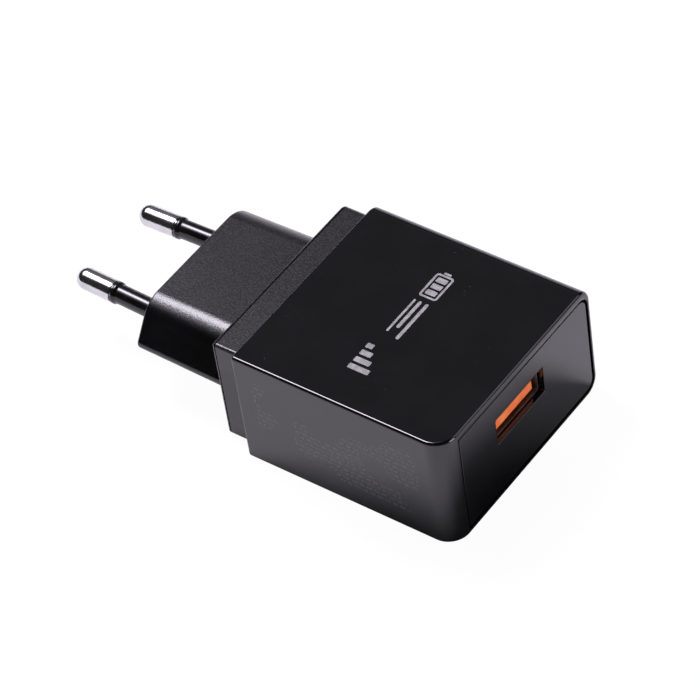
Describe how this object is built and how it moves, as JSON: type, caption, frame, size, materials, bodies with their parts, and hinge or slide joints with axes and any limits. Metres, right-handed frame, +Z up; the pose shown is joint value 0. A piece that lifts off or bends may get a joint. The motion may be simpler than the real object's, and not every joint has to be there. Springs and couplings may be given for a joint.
{
  "type": "usb wall charger",
  "caption": "Compact two-pin European wall charger: glossy rectangular body, textured plug end, round sleeved pins and a recessed USB-A port.",
  "frame": {"origin": "centre of the bounding box's bottom face, on the large flat face that the charger lies on", "axes": "+Z up through the large glossy face, -Y out of the USB face, +Y along the mains pins, +X across the width towards the rounded side"},
  "size_m": [0.042, 0.0855, 0.0235],
  "materials": {
    "gloss_shell": "polished black polycarbonate",
    "gloss_panel": "polished black polycarbonate",
    "textured_plug": "fine spark-textured black polycarbonate",
    "pin_metal": "bright nickel-plated brass",
    "pin_sleeve": "black insulating sleeve",
    "usb_steel": "plated pressed steel sheet",
    "orange_tongue": "moulded orange plastic",
    "contact_gold": "gold-flashed contact strip",
    "insulation_film": "polyester film",
    "board_green": "glass-epoxy board with green solder mask",
    "ferrite": "sintered ferrite",
    "bobbin_black": "phenolic moulding",
    "copper_wire": "enamelled copper wire",
    "yellow_tape": "polyester winding tape",
    "capacitor_sleeve": "shrink sleeve over an aluminium can",
    "aluminium_can": "drawn aluminium can",
    "disc_blue": "dipped epoxy",
    "disc_green": "dipped epoxy",
    "resistor_tan": "coated ceramic",
    "chip_black": "moulded epoxy package",
    "thermal_pad": "filled silicone",
    "aluminium_sheet": "rolled aluminium sheet",
    "wire_black": "PVC insulation",
    "wire_red": "PVC insulation"
  },
  "bodies": {
    "root": {"main_shell": "gloss_shell", "front_panel": "gloss_panel", "plug_housing": "textured_plug", "pin_left": "pin_metal", "pin_right": "pin_metal", "pin_sleeve_left": "pin_sleeve", "pin_sleeve_right": "pin_sleeve", "usb_shell": "usb_steel", "usb_tongue": "orange_tongue", "usb_contact_1": "contact_gold", "usb_contact_2": "contact_gold", "usb_contact_3": "contact_gold", "usb_contact_4": "contact_gold", "insulation_sheet": "insulation_film", "main_board": "board_green", "output_board": "board_green", "transformer_core_front": "ferrite", "transformer_core_rear": "ferrite", "transformer_bobbin": "bobbin_black", "transformer_winding": "copper_wire", "transformer_tape": "yellow_tape", "bulk_capacitor_1": "capacitor_sleeve", "bulk_capacitor_2": "capacitor_sleeve", "output_capacitor_1": "aluminium_can", "output_capacitor_2": "aluminium_can", "y_capacitor": "disc_blue", "varistor": "disc_green", "filter_choke_core": "ferrite", "filter_choke_winding": "copper_wire", "fusible_resistor": "resistor_tan", "bridge_rectifier": "chip_black", "snubber_diode": "chip_black", "snubber_capacitor": "resistor_tan", "controller_chip": "chip_black", "optocoupler": "chip_black", "sense_resistor": "chip_black", "sync_rectifier_chip": "chip_black", "protocol_chip": "chip_black", "thermal_pad": "thermal_pad", "heat_spreader": "aluminium_sheet", "ac_lead_left": "wire_black", "ac_lead_right": "wire_red", "output_lead_positive": "wire_red", "output_lead_negative": "wire_black"}
  },
  "joints": []
}
